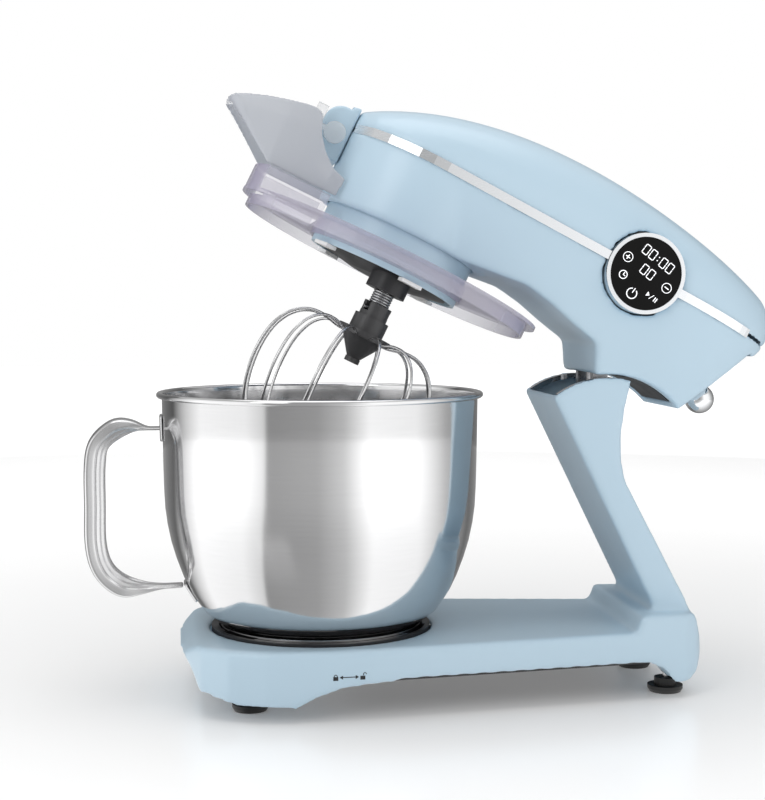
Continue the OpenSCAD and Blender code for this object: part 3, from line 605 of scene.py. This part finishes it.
# %% [markdown]
# Polished steel only looks like steel when it has something to reflect. A round wall behind the
# camera glows in upright bands: each band's compass direction decides where it lands on the bowl.

# %% Banded wall
wall_bm = bmesh.new()
wall_r, wall_h, wall_sides = 1.9, 1.3, 72
wall_turns = [math.tau * i / wall_sides for i in range(wall_sides)]
wall_foot = [wall_bm.verts.new((wall_r * math.sin(t), wall_r * math.cos(t), MM)) for t in wall_turns]
wall_edges = [wall_bm.edges.new((v, w)) for v, w in zip(wall_foot, wall_foot[1:] + wall_foot[:1])]
risen = bmesh.ops.extrude_edge_only(wall_bm, edges=wall_edges)["geom"]
wall_top = [g for g in risen if isinstance(g, bmesh.types.BMVert)]
bmesh.ops.translate(wall_bm, vec=(0, 0, wall_h), verts=wall_top)
wall_mesh = bpy.data.meshes.new("banded_wall")
wall_bm.transform(at_bowl)
wall_bm.to_mesh(wall_mesh)
wall_bm.free()
banded_wall = bpy.data.objects.new("banded_wall", wall_mesh)
bpy.context.scene.collection.objects.link(banded_wall)
levels = [(0.0, 0.30), (0.13, 0.10), (0.18, 0.75), (0.23, 1.25), (0.34, 1.15), (0.378, 0.85), (0.384, 0.33),
          (0.48, 0.40), (0.53, 0.62), (0.58, 1.25), (0.68, 1.15), (0.76, 0.50), (0.86, 0.12), (1.0, 0.30)]


def bands(made):
    """Brightness by compass direction round the bowl's axis, 0 to 1 starting from the rear."""
    place = made.place()
    east = made.node("ShaderNodeSeparateXYZ", {}, {0: place}, out="X") - bowl_axis.x
    toward = made.node("ShaderNodeSeparateXYZ", {}, {0: place}, out="Y") * -1.0
    compass = made.node("ShaderNodeMath", {"operation": "ARCTAN2"}, {0: east, 1: toward}) / math.tau + 0.5
    stops = [(place, (level, level, level, 1)) for place, level in levels]
    return made.node("ShaderNodeValToRGB", {"stops": stops}, {0: compass})


glow = Finish("glowing_bands", Roughness=1.0, Emission_Strength=1.0)
glow.set(Emission_Color=bands(glow))
glow.shader.inputs["Base Color"].default_value = (0, 0, 0, 1)
wall_mesh.materials.append(glow.material)
banded_wall.visible_camera = False


# %% [markdown]
# The paper floor glows to the camera with painted light that grows with distance from the mixer,
# so the far floor reads white and the floor near the mixer stays darker. In the steel its colour
# turns near black and it glows with a painted reflection of the wall's bands, as a glossy table
# under the same lights would show.

# %% Paper floor
paper = Finish("pale_floor", Roughness=0.22, Specular_IOR_Level=0.35, Emission_Strength=1.0)
in_steel = paper.node("ShaderNodeLightPath", {}, {}, out="Is Glossy Ray")
away = paper.node("ShaderNodeVectorMath", {"operation": "LENGTH"}, {0: paper.place()}, out="Value")
# painted light: the floor glows from 0.12 near the mixer to 0.6 far from it, so the far floor reads white
painted_floor_glow = paper.node("ShaderNodeValToRGB", {"stops": [(0.0, (0.12, 0.12, 0.12, 1)), (1.0, (0.6, 0.6, 0.6, 1))]},
                   {0: away - 0.15})
# painted reflection: in glossy rays the floor's colour is near black and it glows with the wall's bands
paper.set(Emission_Color=paper.node("ShaderNodeMix", {"data_type": "RGBA"},
          {"Factor": in_steel, 6: painted_floor_glow, 7: bands(paper)}, out=2),
          Base_Color=paper.tint(in_steel, (0.94, 0.94, 0.94), (0.02, 0.02, 0.02)))
floor_mesh.materials.append(paper.material)


def panel(name, place, target, size, power):
    light = bpy.data.lights.new(name, "AREA")
    light.shape, light.size, light.size_y, light.energy = "RECTANGLE", size[0], size[1], power
    holder = bpy.data.objects.new(name, light)
    holder.location = place
    holder.rotation_euler = (Vector(target) - Vector(place)).to_track_quat("-Z", "Y").to_euler()
    bpy.context.scene.collection.objects.link(holder)


panel("top", (0.0, 0.0, 1.6), (0, 0, 0.2), (1.6, 1.2), 9)
panel("key", (-1.2, -1.3, 1.1), (0, 0, 0.25), (0.8, 0.8), 5)

bpy.context.scene.view_settings.view_transform = "Standard"
